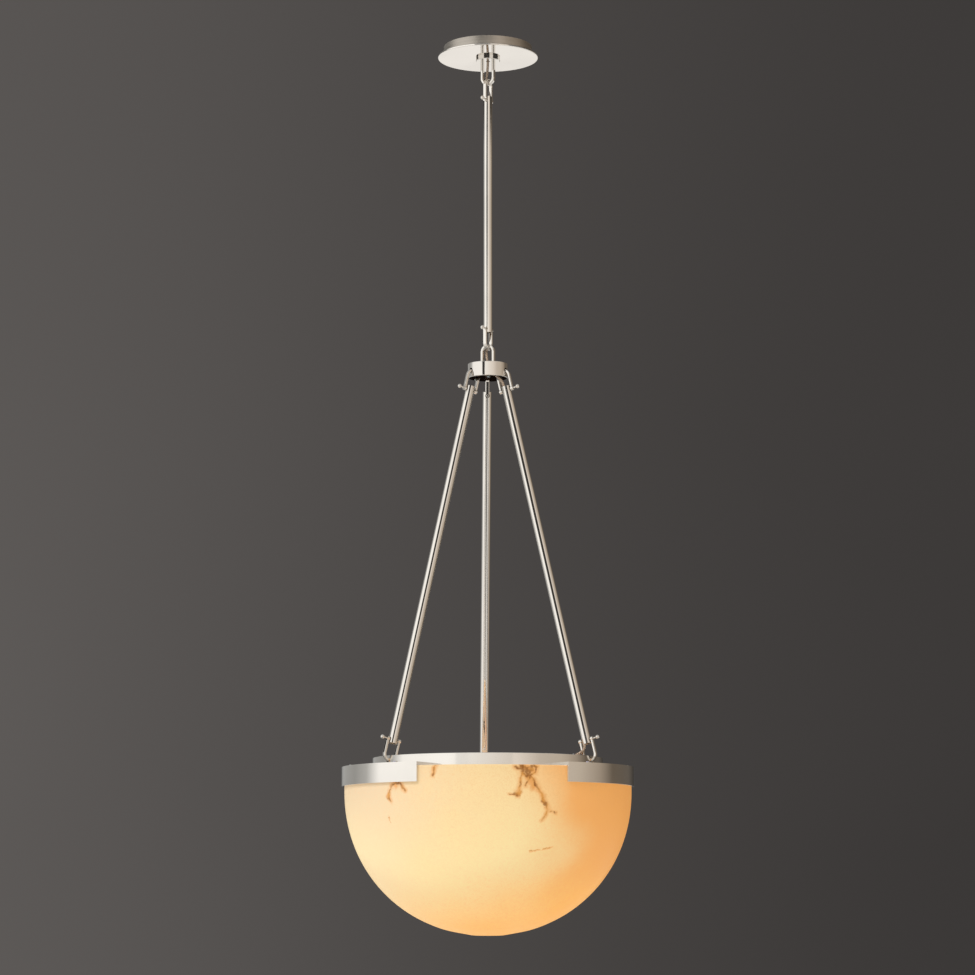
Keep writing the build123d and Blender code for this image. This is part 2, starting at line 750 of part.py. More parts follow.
holder_bottom_z = arm_bottom_z - lampholder_length
cap_top_z = holder_bottom_z + bulb_cap_length + 2
neck_z = cap_top_z - bulb_cap_length
globe_z = neck_z - bulb_length + bulb_radius
lampholders = []
bulb_caps = []
bulbs = []
for azimuth in arm_azimuths:
    centre = at(azimuth, lamp_circle, 0)
    with BuildPart() as lampholder:
        with BuildSketch(Plane(centre).offset(holder_bottom_z)):
            Circle(lampholder_radius)
        extrude(amount=lampholder_length)
        fillet(lampholder.faces().sort_by(Axis.Z)[-1].edges(), lampholder_radius / 4)
        with BuildSketch(Plane(centre).offset(holder_bottom_z)):
            Circle(bulb_cap_radius + socket_fit)
        extrude(amount=lampholder_length - lampholder_top, mode=Mode.SUBTRACT)
        with BuildSketch(Plane(centre).offset(arm_bottom_z)):
            Circle(nipple_radius + thread_fit)
        extrude(amount=-lampholder_top, mode=Mode.SUBTRACT)
    lampholders.append(lampholder.part)
    with BuildPart() as bulb_cap:
        with BuildSketch(Plane(centre).offset(neck_z)):
            Circle(bulb_cap_radius)
        extrude(amount=bulb_cap_length)
        chamfer(bulb_cap.faces().sort_by(Axis.Z)[-1].edges(), bulb_cap_radius / 3)
        with Locations((centre.X, centre.Y, cap_top_z + 1)):
            Cylinder(bulb_cap_radius / 3, 2)
    bulb_caps.append(bulb_cap.part)
    with BuildPart() as bulb:
        for wall, mode in ((0, Mode.ADD), (bulb_glass, Mode.SUBTRACT)):
            with BuildSketch(Plane(centre, x_dir=radial(azimuth), z_dir=radial(azimuth - 90))):
                with BuildLine():
                    Line((0, neck_z - wall), (bulb_cap_radius - wall, neck_z - wall))
                    Spline(
                        (bulb_cap_radius - wall, neck_z - wall),
                        (bulb_radius - wall, globe_z),
                        tangents=((0, -1), (0, -1)),
                    )
                    CenterArc((0, globe_z), bulb_radius - wall, 0, -90)
                    Line((0, globe_z - bulb_radius + wall), (0, neck_z - wall))
                make_face()
            revolve(axis=Axis((centre.X, centre.Y, 0), (0, 0, 1)), mode=mode)
    bulbs.append(bulb.part)
finish_group(lampholders, "lampholders")
finish_group(bulb_caps, "bulb_caps")
finish_group(bulbs, "bulbs")

# ---- wiring ----
right = rod_azimuths["right"]
hook, along = rod_line(right)
lead_z = arm_top_z + lead_rise
entry_z = arm_top_z + block_height / 2
entry_azimuth = right - 4

with BuildPart() as terminal_block:
    with BuildSketch(Plane.XY.offset(arm_top_z)):
        Circle(block_radius)
    extrude(amount=block_height)
    for azimuth in arm_azimuths:
        with BuildSketch(upright(azimuth, block_radius + 1, lead_z)):
            Circle(lead_radius + pin_fit)
        extrude(amount=-block_socket - 1, mode=Mode.SUBTRACT)
    with BuildSketch(upright(entry_azimuth, block_radius + 1, entry_z)):
        Circle(cable_radius + pin_fit)
    extrude(amount=-block_socket - 1, mode=Mode.SUBTRACT)
finish(terminal_block.part, "terminal_block")

leads = []
for azimuth in arm_azimuths:
    lead_points = [
        at(azimuth, block_radius - block_socket, lead_z),
        at(azimuth, lamp_circle, lead_z),
        at(azimuth, lamp_circle, lead_z - lead_drop),
    ]
    leads.append(swept_tube(lead_points, route_radii(lead_points), lead_radius))
finish_group(leads, "lamp_leads")

cores = []
connectors = []
for azimuth in (90, 210, 330):
    core_points = [
        at(azimuth, core_spread, seat_gap),
        at(azimuth, core_spread, core_rise),
        at(azimuth, connector_start + connector_socket, core_rise),
    ]
    cores.append(swept_tube(core_points, route_radii(core_points), core_radius))
    with BuildPart(upright(azimuth, connector_start, core_rise)) as connector:
        Cone(
            connector_radius,
            connector_tip_radius,
            connector_length,
            align=(Align.CENTER, Align.CENTER, Align.MIN),
        )
        Cylinder(core_radius + pin_fit, 2 * connector_socket + 2, mode=Mode.SUBTRACT)
    connectors.append(connector.part)
finish_group(cores, "supply_cores")
finish_group(connectors, "wire_connectors")


def link_point(across, aside, height):
    """A point near the links: across along the loops' span, aside along the pins."""
    return span * across + pins * aside + Vector(0, 0, height)


def rod_point(distance):
    """A point on the cable's line in the right rod, by the distance from the upper arch."""
    return hook + along * distance + radial(right + 90) * -cable_offset


# The cable from the ceiling to the terminal block. It slips past the links in one quadrant,
# and runs beside the pins in the stem and in the right rod.
route = {
    "ceiling": Vector(0, 0, 0),
    "collar": Vector(0, 0, collar_bottom - 9.5),
    "loop": link_point(-6.4, 6.3, top_arch_z + 13.5),
    "arch": link_point(-6.6, 6.1, top_arch_z - 1),
    "stem_top": link_point(-cable_offset, 0, top_pin_z + pin_inset + 5),
    "stem_bottom": link_point(-cable_offset, 0, bottom_pin_z - pin_inset - 5),
    "lower_arch": link_point(-6.6, 6.1, bottom_arch_z + 1),
    "hub_loop": link_point(-6.4, 6.3, bottom_arch_z - 13.5),
    "hub_top": Vector(0, 0, hub_top_z - 4),
    "hub_base": cable_way_out + at(right, -0.7, hub_base_top_z, -0.2),
    "rod_top": rod_point(10.5),
    "rod_bottom": rod_point(hook_distance - 10),
    "over_ring": at(right, ring_inner_radius - 14.4, ring_hook_z, -10),
    "inside": at(right, ring_inner_radius - 30.4, arm_top_z + 6.5, -11),
    "sag": at(right, 100, arm_top_z + 3.4, -13),
    "rise": at(right, 55, arm_top_z + 5, -7),
    "block": at(entry_azimuth, 30, entry_z),
    "end": at(entry_azimuth, block_radius - block_socket, entry_z),
}
names = list(route)
points = list(route.values())
radii = route_radii(points)
for name, radius in zip(names[1:], radii):
    print(f"cable radius at {name}: {radius:.1f}")


def cable(first, first_share, last, last_share, name):
    """A stretch of the cable: it starts a share of the way along the run after one named point
    and ends a share of the way along the run after another."""
    low = names.index(first)
    high = names.index(last)
    start = points[low] + (points[low + 1] - points[low]) * first_share
    end = points[high] + (points[min(high + 1, len(points) - 1)] - points[high]) * last_share
    corners = points[low + 1 : high + 1] if last_share else points[low + 1 : high]
    stretch = swept_tube([start, *corners, end], radii[low : low + len(corners)], cable_radius)
    finish(stretch, name)


cable("ceiling", 0, "collar", 0.5, "cable_in_canopy")
cable("collar", 0.5, "arch", 0.5, "cable_at_canopy_loop")
cable("arch", 0.5, "stem_top", 0.06, "cable_at_stem_top")
cable("stem_top", 0.06, "stem_top", 0.94, "cable_in_stem")
cable("stem_top", 0.94, "stem_bottom", 0.5, "cable_at_stem_bottom")
cable("stem_bottom", 0.5, "hub_loop", 0.5, "cable_at_hub_loop")
cable("hub_loop", 0.5, "hub_base", 0.5, "cable_in_hub")
cable("hub_base", 0.5, "rod_top", 0.05, "cable_at_rod_top")
cable("rod_top", 0.05, "rod_top", 0.95, "cable_in_rod")
cable("rod_top", 0.95, "over_ring", 0.5, "cable_at_rod_foot")
cable("over_ring", 0.5, "end", 0, "cable_in_bowl")

# the clip that holds the cable beside the ring: an eye, a strip and a foot against the wall
clip_middle = (route["inside"] + route["over_ring"]) * 0.5
clip_eye = Plane(clip_middle, z_dir=route["inside"] - route["over_ring"])
clip_frame = Plane(
    clip_middle - up * sleeve_bore,
    x_dir=Vector(clip_middle.X, clip_middle.Y, 0).normalized(),
    z_dir=up,
)
clip_reach = ring_inner_radius - seat_gap - hypot(clip_middle.X, clip_middle.Y)
with BuildPart() as cable_clip:
    with BuildSketch(clip_frame.offset(-clip_thickness / 2)):
        with Locations((clip_reach / 2 + sleeve_bore / 2, 0)):
            Rectangle(clip_reach - sleeve_bore, clip_width)
    extrude(amount=clip_thickness)
    with BuildSketch(clip_frame.offset(clip_thickness / 2)):
        with Locations((clip_reach - clip_thickness / 2, 0)):
            Rectangle(clip_thickness, clip_width)
    extrude(amount=-clip_foot)
    with Locations(clip_eye):
        Cylinder(sleeve_bore + sleeve_wall, sleeve_length)
        Cylinder(sleeve_bore, 2 * sleeve_length, mode=Mode.SUBTRACT)
finish(cable_clip.part, "cable_clip")
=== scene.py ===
import math

import bpy
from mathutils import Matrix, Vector


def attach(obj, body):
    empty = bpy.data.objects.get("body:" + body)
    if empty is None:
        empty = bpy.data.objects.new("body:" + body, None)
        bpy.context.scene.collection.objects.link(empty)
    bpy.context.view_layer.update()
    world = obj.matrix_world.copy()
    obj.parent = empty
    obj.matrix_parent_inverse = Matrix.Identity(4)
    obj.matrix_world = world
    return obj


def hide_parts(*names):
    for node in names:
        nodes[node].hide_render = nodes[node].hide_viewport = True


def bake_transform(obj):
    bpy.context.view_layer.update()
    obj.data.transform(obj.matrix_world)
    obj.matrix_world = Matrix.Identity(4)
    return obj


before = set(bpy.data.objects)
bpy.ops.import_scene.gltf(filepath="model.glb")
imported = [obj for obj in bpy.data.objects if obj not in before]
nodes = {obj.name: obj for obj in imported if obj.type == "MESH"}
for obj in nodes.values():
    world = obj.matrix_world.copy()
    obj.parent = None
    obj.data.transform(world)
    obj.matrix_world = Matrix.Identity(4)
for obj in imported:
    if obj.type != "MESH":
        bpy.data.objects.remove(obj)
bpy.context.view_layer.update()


# ---- node helpers ----
class Tree:
    """A short way to add nodes to a node tree and to join them."""

    def __init__(self, tree):
        self.tree = tree

    def add(self, kind, settings=None, **inputs):
        node = self.tree.nodes.new(kind)
        for key, value in (settings or {}).items():
            setattr(node, key, value)
        for key, value in inputs.items():
            self.set(node, key.replace("_", " "), value)
        return node

    def set(self, node, name, value):
        socket = node.inputs[int(name)] if name.isdigit() else node.inputs[name]
        if isinstance(value, bpy.types.Node):
            value = value.outputs[0]
        if isinstance(value, bpy.types.NodeSocket):
            self.tree.links.new(value, socket)
        else:
            socket.default_value = value

    def math(self, operation, *values, clamp=False):
        node = self.tree.nodes.new("ShaderNodeMath")
        node.operation = operation
        node.use_clamp = clamp
        for index, value in enumerate(values):
            self.set(node, str(index), value)
        return node.outputs[0]

    def vector(self, operation, *values):
        node = self.tree.nodes.new("ShaderNodeVectorMath")
        node.operation = operation
        for index, value in enumerate(values):
            self.set(node, str(index), value)
        gives_number = operation in ("DOT_PRODUCT", "DISTANCE", "LENGTH")
        return node.outputs["Value"] if gives_number else node.outputs[0]

    def step(self, value, low, high, to_low=0.0, to_high=1.0):
        """A smooth step of a value from one end to the other."""
        node = self.add("ShaderNodeMapRange", {"interpolation_type": "SMOOTHSTEP"}, Value=value)
        self.set(node, "From Min", low)
        self.set(node, "From Max", high)
        self.set(node, "To Min", to_low)
        self.set(node, "To Max", to_high)
        return node.outputs[0]

    def mix(self, share, first, second):
        """A mix of two colours."""
        node = self.tree.nodes.new("ShaderNodeMix")
        node.data_type = "RGBA"
        for index, value in ((0, share), (6, first), (7, second)):
            self.set(node, str(index), value)
        return node.outputs[2]

    def noise(self, place, scale, detail=3.0, roughness=0.5):
        node = self.add("ShaderNodeTexNoise", Vector=place, Scale=scale, Detail=detail, Roughness=roughness)
        return node.outputs[0]

    def object_place(self):
        return self.add("ShaderNodeTexCoord").outputs["Object"]


def material(name):
    """A new material: its tree and its principled shader."""
    made = bpy.data.materials.new(name)
    made.use_nodes = True
    tree = Tree(made.node_tree)
    shader = made.node_tree.nodes["Principled BSDF"]
    return made, tree, shader


def rgb(red, green, blue):
    return (red, green, blue, 1.0)


def dimmed(colour, share):
    """A share of a colour's strength."""
    return tuple(channel * share for channel in colour[:3]) + (1.0,)


# ---- finishes ----
def polished_nickel(name, roughness, tint, smear=0.05):
    """Mirror plate with faint wiping marks and a slow change of tone."""
    made, tree, shader = material(name)
    place = tree.object_place()
    marks = tree.noise(tree.vector("MULTIPLY", place, (40, 40, 9)), 6.0, 4.0, 0.65)
    clouds = tree.noise(place, 9.0, 2.0)
    shader.inputs["Metallic"].default_value = 1.0
    tree.set(shader, "Base Color", tree.mix(tree.step(clouds, 0.35, 0.65), dimmed(tint, 0.93), tint))
    tree.set(shader, "Roughness", tree.step(marks, 0.3, 0.75, roughness, roughness + smear))
    bump = tree.add("ShaderNodeBump", Strength=0.04, Distance=0.0004, Height=marks)
    tree.set(shader, "Normal", bump)
    return made


def satin_nickel(name, stretch, tint, roughness=0.3, edge_tint=None):
    """Brushed plate: fine grooves that run across the stretched direction."""
    made, tree, shader = material(name)
    place = tree.object_place()
    grooves = tree.noise(tree.vector("MULTIPLY", place, stretch), 3.0, 5.0, 0.7)
    clouds = tree.noise(place, 14.0, 2.0)
    shader.inputs["Metallic"].default_value = 1.0
    tone = tree.math("ADD", tree.math("MULTIPLY", grooves, 0.7), tree.math("MULTIPLY", clouds, 0.3))
    tree.set(shader, "Base Color", tree.mix(tree.step(tone, 0.35, 0.65), dimmed(tint, 0.8), tint))
    tree.set(shader, "Roughness", tree.step(grooves, 0.3, 0.7, roughness, roughness + 0.1))
    bump = tree.add("ShaderNodeBump", Strength=0.15, Distance=0.0002, Height=grooves)
    tree.set(shader, "Normal", bump)
    if edge_tint:
        shader.inputs["Specular Tint"].default_value = edge_tint
    return made


nickel_tint = rgb(0.79, 0.755, 0.705)
polished = polished_nickel("polished_nickel", 0.07, nickel_tint)
bright = polished_nickel("bright_nickel", 0.03, nickel_tint, 0.02)
mirror = polished_nickel("mirror_nickel", 0.03, rgb(0.84, 0.80, 0.75), 0.02)
satin_round = satin_nickel("satin_nickel_turned", (2, 2, 260), rgb(0.46, 0.42, 0.37))
flat_stretch = (30, 2, 30)
# painted dark reflection: the hub base's satin nickel is given a near-black colour in place of the dark
# room that its polished face mirrors
hub_base_painted_dark = satin_nickel(
    "dark_satin", flat_stretch, rgb(0.075, 0.058, 0.045), 0.14, edge_tint=rgb(0.2, 0.16, 0.13)
)
satin_flat = satin_nickel("satin_nickel_flat", flat_stretch, rgb(0.64, 0.60, 0.55))


def zinc_plate():
    """Passivated zinc: grey with a patchy bluish crystal bloom."""
    made, tree, shader = material("zinc_plate")
    place = tree.object_place()
    cells = tree.add("ShaderNodeTexVoronoi", Vector=place, Scale=240.0).outputs[1]
    clouds = tree.noise(place, 60.0, 3.0)
    shader.inputs["Metallic"].default_value = 1.0
    tone = tree.mix(tree.step(clouds, 0.35, 0.7), rgb(0.50, 0.51, 0.53), rgb(0.66, 0.66, 0.64))
    tree.set(shader, "Base Color", tree.mix(0.12, tone, cells))
    tree.set(shader, "Roughness", tree.step(clouds, 0.3, 0.7, 0.28, 0.45))
    return made


def threaded_zinc():
    """Zinc plated pipe with the ridges of its fine thread, with painted shade in the thread's grooves."""
    made, tree, shader = material("threaded_zinc")
    place = tree.object_place()
    ridges = tree.add("ShaderNodeTexWave", {"bands_direction": "Z"}, Vector=place, Scale=314.0).outputs[1]
    clouds = tree.noise(place, 80.0, 3.0)
    shader.inputs["Metallic"].default_value = 1.0
    # painted shade: the colour is darker in the thread's grooves and paler on its crests
    tree.set(shader, "Base Color", tree.mix(ridges, rgb(0.34, 0.34, 0.34), rgb(0.62, 0.62, 0.6)))
    tree.set(shader, "Roughness", tree.step(clouds, 0.3, 0.7, 0.3, 0.45))
    tree.set(shader, "Normal", tree.add("ShaderNodeBump", Strength=0.8, Distance=0.0005, Height=ridges))
    return made


def turned_brass():
    """Plain brass with fine lathe lines and a little tarnish."""
    made, tree, shader = material("turned_brass")
    place = tree.object_place()
    lines = tree.noise(tree.vector("MULTIPLY", place, (3, 3, 900)), 2.0, 3.0)
    tarnish = tree.noise(place, 70.0, 3.0)
    shader.inputs["Metallic"].default_value = 1.0
    tone = tree.mix(tree.step(tarnish, 0.45, 0.7), rgb(0.72, 0.55, 0.27), rgb(0.45, 0.32, 0.16))
    tree.set(shader, "Base Color", tone)
    tree.set(shader, "Roughness", tree.step(lines, 0.3, 0.7, 0.2, 0.36))
    return made


def plain_finish(name, first, second, scale, roughness, grain=0.0, **sockets):
    """A plastic, rubber or ceramic: two close tones in soft clouds and an optional fine grain."""
    made, tree, shader = material(name)
    place = tree.object_place()
    clouds = tree.noise(place, scale, 3.0)
    tree.set(shader, "Base Color", tree.mix(tree.step(clouds, 0.35, 0.65), first, second))
    tree.set(shader, "Roughness", tree.step(clouds, 0.3, 0.7, roughness, roughness + 0.08))
    if grain:
        fine = tree.noise(place, scale * 40, 2.0)
        tree.set(shader, "Normal", tree.add("ShaderNodeBump", Strength=grain, Distance=0.0002, Height=fine))
    for key, value in sockets.items():
        shader.inputs[key.replace("_", " ")].default_value = value
    return made


zinc = zinc_plate()
threads = threaded_zinc()
brass = turned_brass()
black_nylon = plain_finish("black_nylon", rgb(0.018, 0.018, 0.019), rgb(0.03, 0.03, 0.031), 90, 0.42, 0.2)
clear_rubber = plain_finish("clear_rubber", rgb(0.72, 0.71, 0.68), rgb(0.8, 0.79, 0.77), 60, 0.4, 0.1)
porcelain = plain_finish(
    "white_porcelain", rgb(0.78, 0.76, 0.71), rgb(0.84, 0.82, 0.78), 30, 0.12, 0.0, Coat_Weight=0.4
)
orange_plastic = plain_finish("orange_plastic", rgb(0.72, 0.2, 0.02), rgb(0.8, 0.25, 0.03), 60, 0.38, 0.15)


def core_plastic():
    """The three cores' insulation: each core has its own colour, by its direction from the axis."""
    made, tree, shader = material("core_insulation")
    place = tree.object_place()
    parts = tree.add("ShaderNodeSeparateXYZ", Vector=place)
    right = tree.step(parts.outputs[0], 0.0003, 0.0005)
    back = tree.step(parts.outputs[1], 0.0004, 0.0006)
    cloud = tree.noise(place, 90.0)
    two = tree.mix(right, rgb(0.75, 0.74, 0.7), rgb(0.02, 0.02, 0.02))
    three = tree.mix(back, two, rgb(0.06, 0.3, 0.08))
    tree.set(shader, "Base Color", three)
    tree.set(shader, "Roughness", tree.step(cloud, 0.3, 0.7, 0.35, 0.45))
    return made


def clear_sheath():
    """The cable: a clear coat over three twisted bundles of tinned strands, turned amber with age."""
    made, tree, shader = material("clear_sheath")
    along = tree.add("ShaderNodeAttribute", {"attribute_name": "along"}).outputs["Fac"]
    around = tree.add("ShaderNodeAttribute", {"attribute_name": "around"}).outputs["Fac"]
    turns_per_metre = 70.0
    bundles, strands = 3, 18
    turns = tree.math("ADD", tree.math("MULTIPLY", along, turns_per_metre), around)
    bundle = tree.math("ABSOLUTE", tree.math("SINE", tree.math("MULTIPLY", turns, bundles * math.pi)))
    strand = tree.math("SINE", tree.math("MULTIPLY", turns, 2 * strands * math.pi))
    cloud = tree.noise(tree.object_place(), 160.0, 2.0)
    core = tree.mix(tree.step(strand, -0.6, 0.8), rgb(0.26, 0.17, 0.11), rgb(0.5, 0.4, 0.3))
    # painted shade: the gaps between the three bundles are dark brown
    tree.set(shader, "Base Color", tree.mix(tree.step(bundle, 0.1, 0.55), rgb(0.12, 0.075, 0.045), core))
    tree.set(shader, "Roughness", tree.step(cloud, 0.3, 0.7, 0.25, 0.38))
    shader.inputs["Coat Weight"].default_value = 0.8
    shader.inputs["Coat Roughness"].default_value = 0.08
    tree.set(shader, "Normal", tree.add("ShaderNodeBump", Strength=0.3, Distance=0.0003, Height=bundle))
    return made


insulation = core_plastic()
sheath = clear_sheath()

# ---- the bowl's stone ----
lamp_azimuths = (-60, 60, 180)
lamp_radius = 0.078
lamp_height = -1.2686
lamp_turns = [math.radians(azimuth) for azimuth in lamp_azimuths]
lamp_places = [
    Vector((lamp_radius * math.cos(turn), lamp_radius * math.sin(turn), lamp_height)) for turn in lamp_turns
]

# the bowl's outside in millimetres: a short straight wall, then a slightly squared round
bowl_radius = 224.2
wall_end = -1196.8
round_depth = 223.8
squareness = 2.06


def on_bowl(azimuth, height):
    """A point on the bowl's outside, by its azimuth in degrees and its height in millimetres."""
    fall = max(wall_end - height, 0) / round_depth
    radius = bowl_radius * max(1 - fall**squareness, 0) ** (1 / squareness)
    turn = math.radians(azimuth)
    return Vector((radius * math.cos(turn), radius * math.sin(turn), height)) / 1000


# each stroke: its half width in millimetres, then its points as azimuth and height
veins = [
    (2.2, (-78.5, -1166.8), (-78.9, -1180.3), (-75.7, -1183.1), (-73.3, -1196.4)),
    (1.9, (-73.3, -1196.4), (-71.7, -1205.2), (-69.5, -1220), (-68.1, -1231.8)),
    (1.4, (-68.1, -1231.8), (-68.8, -1240.7), (-70.3, -1248.2)),
    (1.7, (-78.9, -1180.3), (-80.1, -1204.1), (-80.5, -1211.6)),
    (1.2, (-80.5, -1211.6), (-84, -1210.2)),
    (2.0, (-75.7, -1183.1), (-77.3, -1196.6)),
    (1.6, (-81.6, -1169.9), (-78.9, -1172.8)),
    (1.6, (-74.5, -1166.6), (-72.9, -1171), (-73.7, -1178.5), (-75.7, -1183.1)),
    (1.5, (-132.3, -1190.1), (-128.7, -1190.5), (-126.8, -1199.7), (-125.8, -1202.8)),
    (1.5, (-131.2, -1192), (-133.8, -1203.5), (-134.4, -1210.9), (-133, -1218.6)),
    (1.3, (-112.3, -1166.4), (-114, -1182.8)),
    (1.0, (-68.1, -1233.3), (-64.5, -1237.5)),
    (0.4, (-74.3, -1294.5), (-69.1, -1291.5), (-64.3, -1287.9)),
    (0.4, (-135.3, -1240.8), (-134.2, -1251.4)),
]
stains = [
    (8.0, (-76.4, -1184), (-74.2, -1198)),
    (6.0, (-78.6, -1168), (-73.8, -1176)),
    (5.0, (-80.2, -1203), (-80.9, -1211)),
    (4.0, (-72.0, -1206), (-69.5, -1222)),
    (5.5, (-131.4, -1189), (-130.2, -1197)),
    (4.0, (-133.9, -1204), (-133.6, -1216)),
    (1.2, (-135.3, -1240.8), (-134.2, -1251.4)),
    (1.0, (-73.9, -1295.5), (-65.1, -1289.5)),
    (4.0, (-112.6, -1168), (-113.6, -1178)),
]
blotches = [
    (4.5, (-79.2, -1168), (-77.6, -1172), (-76.6, -1180)),
    (3.5, (-74.6, -1168), (-76.0, -1181)),
    (3.6, (-79.9, -1207), (-81.4, -1211)),
    (3.0, (-70.3, -1216), (-69.0, -1226)),
    (3.2, (-131.6, -1188), (-129.2, -1191)),
    (2.8, (-133.6, -1206), (-134.2, -1214)),
]


def stroke_group():
    """A group that gives how far a place is from a straight stroke, in half widths."""
    group = bpy.data.node_groups.new("stroke", "ShaderNodeTree")
    for name in ("Place", "Start", "Run", "Run Share"):
        group.interface.new_socket(name, in_out="INPUT", socket_type="NodeSocketVector")
    group.interface.new_socket("Per Width", in_out="INPUT", socket_type="NodeSocketFloat")
    group.interface.new_socket("Distance", in_out="OUTPUT", socket_type="NodeSocketFloat")
    tree = Tree(group)
    given = tree.add("NodeGroupInput")
    off = tree.vector("SUBTRACT", given.outputs["Place"], given.outputs["Start"])
    along = tree.math("ADD", tree.vector("DOT_PRODUCT", off, given.outputs["Run Share"]), 0.0, clamp=True)
    scale = tree.tree.nodes.new("ShaderNodeVectorMath")
    scale.operation = "SCALE"
    tree.set(scale, "0", given.outputs["Run"])
    tree.set(scale, "Scale", along)
    gap = tree.vector("DISTANCE", off, scale.outputs[0])
    out = tree.add("NodeGroupOutput")
    tree.set(out, "Distance", tree.math("MULTIPLY", gap, given.outputs["Per Width"]))
    return group


def nearest(tree, group, place, strokes):
    """The least distance, in half widths, to any run of the strokes."""
    least = None
    for half_width, *points in strokes:
        for first, second in zip(points, points[1:]):
            start, end = on_bowl(*first), on_bowl(*second)
            run = end - start
            node = tree.tree.nodes.new("ShaderNodeGroup")
            node.node_tree = group
            tree.set(node, "Place", place)
            node.inputs["Start"].default_value = start
            node.inputs["Run"].default_value = run
            node.inputs["Run Share"].default_value = run / run.length_squared
            node.inputs["Per Width"].default_value = 1000 / half_width
            gap = node.outputs[0]
            least = gap if least is None else tree.math("MINIMUM", least, gap)
    return least


def alabaster():
    """Stone with painted emission: a warm body colour, clouds of cream and amber painted into its emission
    in place of the bulbs shining through it, and rust veins.
    """
    made, tree, shader = material("lit_alabaster")
    group = stroke_group()
    place = tree.object_place()
    parts = tree.add("ShaderNodeSeparateXYZ", Vector=place)
    wander = tree.add("ShaderNodeTexNoise", Vector=place, Scale=120.0, Detail=3.0).outputs[1]
    drift = tree.vector("SUBTRACT", wander, (0.5, 0.5, 0.5))
    wobble = 0.009
    wobbled = tree.vector("ADD", place, tree.vector("MULTIPLY", drift, (wobble, wobble, wobble)))
    grain = tree.noise(place, 420.0, 3.0, 0.6)
    breaks = tree.noise(place, 75.0, 2.0)
    near = nearest(tree, group, wobbled, veins)
    specks = tree.noise(place, 260.0, 3.0, 0.6)
    line = tree.step(tree.math("ADD", near, tree.math("MULTIPLY", breaks, 1.2)), 2.2, 0.5)
    halo = tree.step(tree.math("ADD", near, tree.math("MULTIPLY", specks, 2.0)), 5.5, 1.0)
    stain = tree.math("ADD", nearest(tree, group, wobbled, stains), tree.math("MULTIPLY", breaks, 1.2))
    stain = tree.step(stain, 2.2, 0.5)
    blotch = tree.math("ADD", nearest(tree, group, wobbled, blotches), tree.math("MULTIPLY", specks, 2.4))
    line = tree.math("MAXIMUM", line, tree.step(blotch, 2.7, 1.4, 0.0, 0.85))

    # veins of the sides and the back, fewer and fainter
    ridge = tree.math("ABSOLUTE", tree.math("SUBTRACT", tree.noise(place, 11.0, 4.0, 0.62), 0.5))
    region = tree.noise(tree.vector("ADD", place, (0.3, 0.1, 0.7)), 7.0, 1.0)
    behind = tree.step(parts.outputs[1], -0.06, 0.03)
    far_line = tree.math("MULTIPLY", tree.step(ridge, 0.01, 0.001), tree.step(region, 0.56, 0.66))
    far_line = tree.math("MULTIPLY", far_line, behind)
    far_halo = tree.math("MULTIPLY", tree.step(ridge, 0.05, 0.0, 0.0, 0.7), tree.step(region, 0.54, 0.68))
    far_halo = tree.math("MULTIPLY", far_halo, behind)
    rust = tree.math("MAXIMUM", line, tree.math("MULTIPLY", far_line, 0.6))
    orange = tree.math("MAXIMUM", tree.math("MAXIMUM", tree.math("MULTIPLY", halo, 0.75), stain), far_halo)

    # painted glow: the stone's emission is brighter near each of the three bulbs, standing in for their
    # light through the wall
    painted_bulb_glow = None
    for lamp in lamp_places:
        gap = tree.math("MULTIPLY", tree.vector("DISTANCE", place, lamp), 7.5)
        spot = tree.math("DIVIDE", 1.0, tree.math("ADD", 1.0, tree.math("POWER", gap, 3.0)))
        painted_bulb_glow = spot if painted_bulb_glow is None else tree.math("ADD", painted_bulb_glow, spot)
    stirred = tree.vector("ADD", place, tree.vector("MULTIPLY", drift, (0.05, 0.05, 0.05)))
    clouds = tree.noise(stirred, 6.0, 4.0, 0.55)
    sway = tree.math("SUBTRACT", clouds, 0.5)
    slow = tree.math("SUBTRACT", tree.noise(place, 7.0, 1.0), 0.5)
    drawn_out = tree.vector("ADD", tree.vector("MULTIPLY", place, (1, 1, 2.2)), drift)
    wisps = tree.noise(drawn_out, 9.0, 5.0, 0.6)
    aside, height = parts.outputs[0], parts.outputs[2]
    # painted glow: the emission is cream in an oval a little left of the middle and amber right and below;
    # with the same masks the body colour is painted paler on the left and warmer on the right
    oval_x = tree.math("DIVIDE", tree.math("ADD", aside, 0.06), 0.165)
    oval_z = tree.math("DIVIDE", tree.math("ADD", height, 1.25), 0.128)
    squares = tree.math("ADD", tree.math("POWER", oval_x, 2.0), tree.math("POWER", oval_z, 2.0))
    out = tree.math("SQRT", squares)
    ragged = tree.math("ADD", tree.math("MULTIPLY", slow, 0.9), tree.math("MULTIPLY", sway, 0.5))
    warm_side = tree.step(tree.math("ADD", out, ragged), 0.66, 1.36)
    warm_side = tree.math("MULTIPLY", warm_side, tree.step(aside, -0.17, 0.03))
    pale_side = tree.step(tree.math("ADD", aside, tree.math("MULTIPLY", sway, 0.2)), -0.02, -0.2)
    low = tree.step(tree.math("ADD", height, tree.math("MULTIPLY", sway, 0.12)), -1.295, -1.39)
    body = tree.mix(warm_side, rgb(0.46, 0.35, 0.2), rgb(0.46, 0.31, 0.16))
    body = tree.mix(pale_side, body, rgb(0.5, 0.4, 0.28))
    painted_glow_colour = tree.mix(warm_side, rgb(0.49, 0.35, 0.16), rgb(0.55, 0.2, 0.02))
    painted_glow_colour = tree.mix(pale_side, painted_glow_colour, rgb(0.31, 0.21, 0.12))
    amber = tree.mix(warm_side, rgb(0.62, 0.36, 0.12), rgb(0.64, 0.27, 0.025))
    painted_glow_colour = tree.mix(low, painted_glow_colour, amber)
